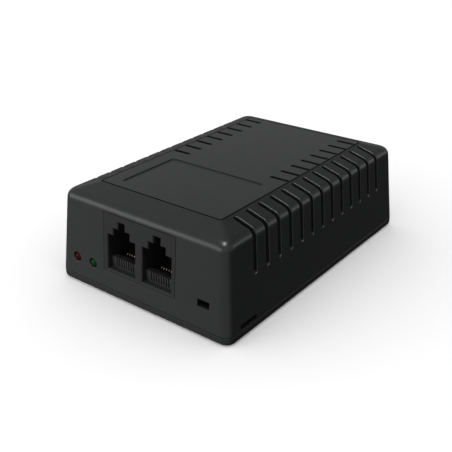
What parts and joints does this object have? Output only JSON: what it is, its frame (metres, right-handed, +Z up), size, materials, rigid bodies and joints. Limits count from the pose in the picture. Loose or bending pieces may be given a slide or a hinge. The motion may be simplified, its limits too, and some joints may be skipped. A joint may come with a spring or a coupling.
{
  "type": "poe injector",
  "caption": "Low black plastic box that adds power to a network cable, with side-by-side modular sockets in front, slotted shoulders and a mains inlet at the rear.",
  "frame": {"origin": "centre of the footprint, on the surface that the rubber feet stand on", "axes": "+Z up; the modular sockets face -Y and the mains inlet faces +Y; +X is to the right when looking at the sockets"},
  "size_m": [0.072, 0.1056, 0.0343],
  "materials": {
    "case_plastic": "fine satin texture, moulded",
    "base_plastic": "fine satin texture, moulded",
    "jack_plastic": "smooth moulded",
    "comb_plastic": "smooth moulded",
    "contact_gold": "gold flashed spring wire",
    "red_lens": "tinted clear, unlit",
    "green_lens": "tinted clear, unlit",
    "tinned_lead": "tinned wire",
    "inlet_plastic": "smooth moulded",
    "pin_metal": "nickel plated",
    "board_green": "solder mask over glass fibre",
    "sheet_fibre": "fish paper",
    "screw_steel": "zinc plated",
    "foot_rubber": "matt",
    "fuse_body": "moulded",
    "blue_coating": "dipped epoxy coating",
    "green_coating": "dipped epoxy coating",
    "film_case": "moulded box",
    "ferrite": "sintered",
    "enamel_wire": "enamelled copper",
    "can_sleeve": "shrink sleeve",
    "chip_black": "moulded epoxy",
    "sink_aluminium": "mill finish",
    "bobbin_black": "moulded phenolic",
    "coil_tape": "polyester tape",
    "chip_ceramic": "fired"
  },
  "bodies": {
    "root": {"top_cover": "case_plastic", "base_cover": "base_plastic", "case_screws": "screw_steel", "rubber_feet": "foot_rubber", "jack_housing": "jack_plastic", "data_in_contact_block": "comb_plastic", "power_out_contact_block": "comb_plastic", "data_in_contacts": "contact_gold", "power_out_contacts": "contact_gold", "red_led": "red_lens", "green_led": "green_lens", "led_leads": "tinned_lead", "inlet_housing": "inlet_plastic", "inlet_line_pins": "pin_metal", "inlet_earth_pin": "pin_metal", "inlet_terminals": "tinned_lead", "circuit_board": "board_green", "board_screws": "screw_steel", "insulation_sheet": "sheet_fibre", "mains_fuse": "fuse_body", "varistor": "blue_coating", "x2_capacitor": "film_case", "choke_core": "ferrite", "choke_windings": "enamel_wire", "inrush_thermistor": "green_coating", "bridge_rectifier": "chip_black", "bulk_capacitor": "can_sleeve", "switching_transistor": "chip_black", "primary_heat_sink": "sink_aluminium", "output_diode": "chip_black", "secondary_heat_sink": "sink_aluminium", "heat_sink_screws": "screw_steel", "pwm_controller": "chip_black", "transformer_core": "ferrite", "transformer_bobbin": "bobbin_black", "transformer_winding": "coil_tape", "optocoupler": "chip_black", "y_capacitor": "blue_coating", "output_capacitors": "can_sleeve", "output_inductor": "ferrite", "data_in_magnetics": "chip_black", "power_out_magnetics": "chip_black", "poe_controller": "chip_black", "chip_components": "chip_ceramic"}
  },
  "joints": []
}
